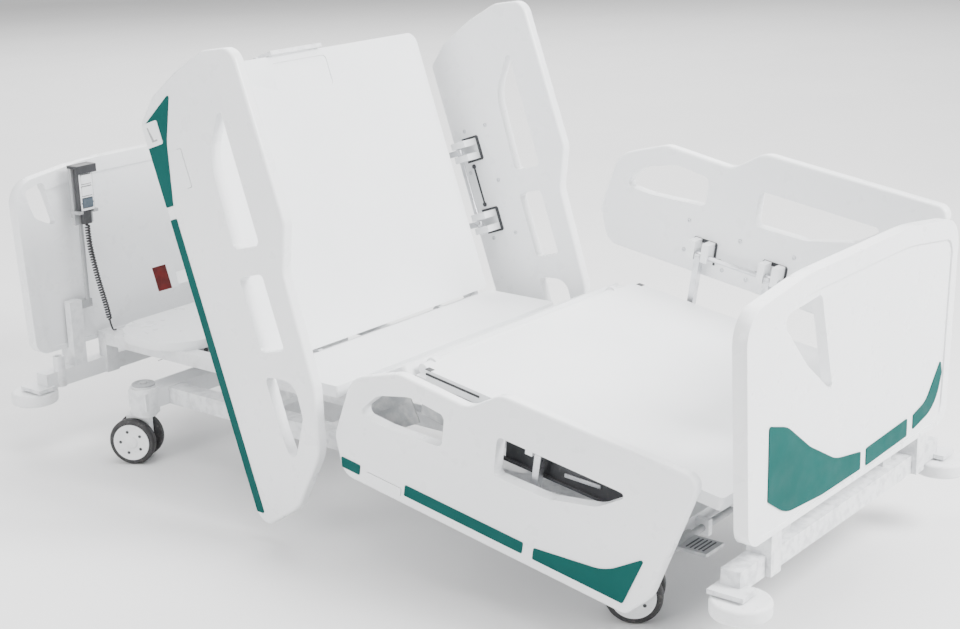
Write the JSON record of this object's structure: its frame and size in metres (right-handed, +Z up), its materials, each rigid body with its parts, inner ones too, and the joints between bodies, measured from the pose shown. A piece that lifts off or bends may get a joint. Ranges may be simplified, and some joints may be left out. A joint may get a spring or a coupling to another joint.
{
  "type": "adjustable hospital bed",
  "caption": "Electric hospital bed on column lifts with a profiling deck, split side rails, lift-off end boards and twin-wheel castors.",
  "frame": {"origin": "on the floor under the middle of the bed", "axes": "+X across the bed to the patient's left, +Y to the head end, +Z up"},
  "size_m": [1.074, 2.304, 1.1581],
  "materials": {
    "white_plastic": "smooth gloss, fine moulding grain",
    "deck_plastic": "satin moulded panel",
    "frame_paint": "powder coat, light grey white",
    "teal_film": "satin coloured inlay",
    "grey_plastic": "satin grey",
    "dark_plastic": "matt black",
    "zinc": "zinc plated",
    "tyre": "worn polyurethane tyre, grey hub",
    "red_grip": "red emergency grip",
    "bumper": "soft white roller",
    "cord": "black cord jacket",
    "key": "rubber key"
  },
  "bodies": {
    "base": {"base_frame": "frame_paint", "column_outer_head": "frame_paint", "column_outer_foot": "frame_paint"},
    "lift_stage_head": {"column_mid_head": "zinc"},
    "lift_stage_foot": {"column_mid_foot": "zinc"},
    "brake": {"brake_bar": "grey_plastic"},
    "frame": {"upper_frame": "frame_paint", "seat_panel": "deck_plastic", "head_cover": "white_plastic", "control_box": "grey_plastic", "actuator_back": "grey_plastic", "actuator_thigh": "grey_plastic", "end_bar_head": "frame_paint", "end_bar_foot": "frame_paint", "handset_stalk": "grey_plastic", "handset": "dark_plastic", "cord_coil": "cord", "cord_tail": "cord"},
    "castor_head_right": {"castor_head_head_right": "white_plastic"},
    "wheels_head_right": {"castor_wheels_head_right": "tyre"},
    "castor_head_left": {"castor_head_head_left": "white_plastic"},
    "wheels_head_left": {"castor_wheels_head_left": "tyre"},
    "castor_foot_right": {"castor_head_foot_right": "white_plastic"},
    "wheels_foot_right": {"castor_wheels_foot_right": "tyre"},
    "castor_foot_left": {"castor_head_foot_left": "white_plastic"},
    "wheels_foot_left": {"castor_wheels_foot_left": "tyre"},
    "bumper_head_right": {"bumper_head_right": "bumper"},
    "bumper_head_left": {"bumper_head_left": "bumper"},
    "headboard": {"headboard": "white_plastic"},
    "bumper_foot_right": {"bumper_foot_right": "bumper"},
    "bumper_foot_left": {"bumper_foot_left": "bumper"},
    "footboard": {"footboard": "white_plastic", "footboard_band": "teal_film"},
    "backrest": {"backrest_panel": "deck_plastic", "backrest_frame": "frame_paint"},
    "thigh": {"thigh_panel": "deck_plastic"},
    "calf": {"calf_panel": "deck_plastic"},
    "push_back": {"push_rod_back": "zinc"},
    "push_thigh": {"push_rod_thigh": "zinc"},
    "arm_back_right": {"rail_arm_back_right": "zinc"},
    "rail_back_right": {"rail_back_right": "white_plastic", "rail_band_back_right": "teal_film"},
    "release_back_right": {"rail_release_back_right": "white_plastic"},
    "arm_back_left": {"rail_arm_back_left": "zinc"},
    "rail_back_left": {"rail_back_left": "white_plastic", "rail_band_back_left": "teal_film"},
    "release_back_left": {"rail_release_back_left": "white_plastic"},
    "arm_foot_right": {"rail_arm_foot_right": "zinc"},
    "rail_foot_right": {"rail_foot_right": "white_plastic", "rail_band_foot_right": "teal_film"},
    "release_foot_right": {"rail_release_foot_right": "white_plastic"},
    "arm_foot_left": {"rail_arm_foot_left": "zinc"},
    "rail_foot_left": {"rail_foot_left": "white_plastic", "rail_band_foot_left": "teal_film"},
    "release_foot_left": {"rail_release_foot_left": "white_plastic"},
    "cpr_right": {"cpr_handle_right": "red_grip"},
    "cpr_left": {"cpr_handle_left": "red_grip"},
    "key_back": {"key_back": "white_plastic"},
    "key_thigh": {"key_thigh": "white_plastic"},
    "key_height": {"key_height": "key"}
  },
  "joints": [
    {"name": "height", "type": "slide", "parent": "base", "child": "frame", "axis": [0, 0, 1], "range_m": [0, 0.3]},
    {"name": "stage_head", "type": "slide", "parent": "base", "child": "lift_stage_head", "axis": [0, 0, 1], "range_m": [0, 0.15]},
    {"name": "stage_foot", "type": "slide", "parent": "base", "child": "lift_stage_foot", "axis": [0, 0, 1], "range_m": [0, 0.15]},
    {"name": "brake", "type": "hinge", "parent": "base", "child": "brake", "pos_m": [0, -0.852, 0.172], "axis": [1, 0, 0], "range_deg": [-12, 12]},
    {"name": "swivel_head_right", "type": "hinge", "parent": "base", "child": "castor_head_right", "pos_m": [-0.33, 0.787, 0.15], "axis": [0, 0, 1], "continuous": true},
    {"name": "roll_head_right", "type": "hinge", "parent": "castor_head_right", "child": "wheels_head_right", "pos_m": [-0.34408, 0.81349, 0.0625], "axis": [-0.8829, -0.4695, 0], "continuous": true},
    {"name": "swivel_head_left", "type": "hinge", "parent": "base", "child": "castor_head_left", "pos_m": [0.33, 0.787, 0.15], "axis": [0, 0, 1], "continuous": true},
    {"name": "roll_head_left", "type": "hinge", "parent": "castor_head_left", "child": "wheels_head_left", "pos_m": [0.31592, 0.81349, 0.0625], "axis": [-0.8829, -0.4695, 0], "continuous": true},
    {"name": "swivel_foot_right", "type": "hinge", "parent": "base", "child": "castor_foot_right", "pos_m": [-0.33, -0.8, 0.15], "axis": [0, 0, 1], "continuous": true},
    {"name": "roll_foot_right", "type": "hinge", "parent": "castor_foot_right", "child": "wheels_foot_right", "pos_m": [-0.34408, -0.77351, 0.0625], "axis": [-0.8829, -0.4695, 0], "continuous": true},
    {"name": "swivel_foot_left", "type": "hinge", "parent": "base", "child": "castor_foot_left", "pos_m": [0.33, -0.8, 0.15], "axis": [0, 0, 1], "continuous": true},
    {"name": "roll_foot_left", "type": "hinge", "parent": "castor_foot_left", "child": "wheels_foot_left", "pos_m": [0.34026, -0.77181, 0.0625], "axis": [-0.9397, 0.342, 0], "continuous": true},
    {"name": "bumper_spin_head_right", "type": "hinge", "parent": "frame", "child": "bumper_head_right", "pos_m": [-0.455, 1.09, 0.157], "axis": [0, 0, 1], "continuous": true},
    {"name": "bumper_spin_head_left", "type": "hinge", "parent": "frame", "child": "bumper_head_left", "pos_m": [0.455, 1.09, 0.157], "axis": [0, 0, 1], "continuous": true},
    {"name": "headboard_lift", "type": "slide", "parent": "frame", "child": "headboard", "axis": [0, 0, 1], "range_m": [0, 0.1]},
    {"name": "bumper_spin_foot_right", "type": "hinge", "parent": "frame", "child": "bumper_foot_right", "pos_m": [-0.455, -1.09, 0.157], "axis": [0, 0, 1], "continuous": true},
    {"name": "bumper_spin_foot_left", "type": "hinge", "parent": "frame", "child": "bumper_foot_left", "pos_m": [0.455, -1.09, 0.157], "axis": [0, 0, 1], "continuous": true},
    {"name": "footboard_lift", "type": "slide", "parent": "frame", "child": "footboard", "axis": [0, 0, 1], "range_m": [0, 0.1]},
    {"name": "backrest", "type": "hinge", "parent": "frame", "child": "backrest", "pos_m": [0, 0.23, 0.365], "axis": [1, 0, 0], "range_deg": [-71.3, 0]},
    {"name": "knee_rise", "type": "hinge", "parent": "frame", "child": "thigh", "pos_m": [0, -0.03, 0.365], "axis": [-1, 0, 0], "range_deg": [-24.5, 5]},
    {"name": "calf_fold", "type": "hinge", "parent": "thigh", "child": "calf", "pos_m": [0, -0.24384, 0.46245], "axis": [-1, 0, 0], "range_deg": [-7.2, 34.3]},
    {"name": "push_back", "type": "slide", "parent": "frame", "child": "push_back", "axis": [0, 1, 0], "range_m": [-0.09374, 0.0005]},
    {"name": "push_thigh", "type": "slide", "parent": "frame", "child": "push_thigh", "axis": [0, 1, 0], "range_m": [-0.0075, 0.02878]},
    {"name": "arm_back_right", "type": "hinge", "parent": "backrest", "child": "arm_back_right", "pos_m": [-0.468, 0.40445, 0.61528], "axis": [0, -0.3206, -0.9472], "range_deg": [0, 180]},
    {"name": "rail_back_right", "type": "hinge", "parent": "arm_back_right", "child": "rail_back_right", "pos_m": [-0.468, 0.30973, 0.64734], "axis": [0, -0.3206, -0.9472], "range_deg": [-180, 0]},
    {"name": "release_back_right", "type": "slide", "parent": "rail_back_right", "child": "release_back_right", "axis": [1, 0, 0], "range_m": [0, 0.004], "stiffness_N_per_m": 300, "springref_m": -0.002},
    {"name": "arm_back_left", "type": "hinge", "parent": "backrest", "child": "arm_back_left", "pos_m": [0.468, 0.40445, 0.61528], "axis": [0, 0.3206, 0.9472], "range_deg": [0, 180]},
    {"name": "rail_back_left", "type": "hinge", "parent": "arm_back_left", "child": "rail_back_left", "pos_m": [0.468, 0.30973, 0.64734], "axis": [0, 0.3206, 0.9472], "range_deg": [-180, 0]},
    {"name": "release_back_left", "type": "slide", "parent": "rail_back_left", "child": "release_back_left", "axis": [-1, 0, 0], "range_m": [0, 0.004], "stiffness_N_per_m": 300, "springref_m": -0.002},
    {"name": "arm_foot_right", "type": "hinge", "parent": "calf", "child": "arm_foot_right", "pos_m": [-0.444, -0.5088, 0.37959], "axis": [0, 0.9863, 0.165], "range_deg": [0, 180]},
    {"name": "rail_foot_right", "type": "hinge", "parent": "arm_foot_right", "child": "rail_foot_right", "pos_m": [-0.444, -0.47991, 0.20699], "axis": [0, 0.9863, 0.165], "range_deg": [-180, 0]},
    {"name": "release_foot_right", "type": "slide", "parent": "rail_foot_right", "child": "release_foot_right", "axis": [1, 0, 0], "range_m": [0, 0.004], "stiffness_N_per_m": 300, "springref_m": -0.002},
    {"name": "arm_foot_left", "type": "hinge", "parent": "calf", "child": "arm_foot_left", "pos_m": [0.444, -0.5088, 0.37959], "axis": [0, 0.9863, 0.165], "range_deg": [0, 180]},
    {"name": "rail_foot_left", "type": "hinge", "parent": "arm_foot_left", "child": "rail_foot_left", "pos_m": [0.444, -0.53768, 0.55219], "axis": [0, 0.9863, 0.165], "range_deg": [-180, 0]},
    {"name": "release_foot_left", "type": "slide", "parent": "rail_foot_left", "child": "release_foot_left", "axis": [-1, 0, 0], "range_m": [0, 0.004], "stiffness_N_per_m": 300, "springref_m": -0.002},
    {"name": "cpr_right", "type": "hinge", "parent": "backrest", "child": "cpr_right", "pos_m": [-0.395, 0.43533, 0.5911], "axis": [1, 0, 0], "range_deg": [0, 20], "stiffness_Nm_per_rad": 3, "springref_deg": -20.05},
    {"name": "cpr_left", "type": "hinge", "parent": "backrest", "child": "cpr_left", "pos_m": [0.395, 0.43533, 0.5911], "axis": [1, 0, 0], "range_deg": [0, 20], "stiffness_Nm_per_rad": 3, "springref_deg": -20.05},
    {"name": "key_back", "type": "hinge", "parent": "frame", "child": "key_back", "pos_m": [-0.285, 1.0075, 0.732], "axis": [1, 0, 0], "range_deg": [-4, 4], "stiffness_Nm_per_rad": 0.05},
    {"name": "key_thigh", "type": "hinge", "parent": "frame", "child": "key_thigh", "pos_m": [-0.285, 1.0075, 0.7], "axis": [1, 0, 0], "range_deg": [-4, 4], "stiffness_Nm_per_rad": 0.05},
    {"name": "key_height", "type": "hinge", "parent": "frame", "child": "key_height", "pos_m": [-0.285, 1.0075, 0.668], "axis": [1, 0, 0], "range_deg": [-4, 4], "stiffness_Nm_per_rad": 0.05}
  ],
  "couplings": [
    {"joint": "stage_head", "follows": "height", "ratio": 0.5},
    {"joint": "stage_foot", "follows": "height", "ratio": 0.5},
    {"joint": "calf_fold", "follows": "knee_rise", "ratio": -1.3878},
    {"joint": "push_back", "follows": "backrest", "m_per_rad": 0.074929},
    {"joint": "push_thigh", "follows": "knee_rise", "m_per_rad": -0.066141},
    {"joint": "rail_back_right", "follows": "arm_back_right", "ratio": -1},
    {"joint": "rail_back_left", "follows": "arm_back_left", "ratio": -1},
    {"joint": "rail_foot_right", "follows": "arm_foot_right", "ratio": -1},
    {"joint": "rail_foot_left", "follows": "arm_foot_left", "ratio": -1}
  ]
}
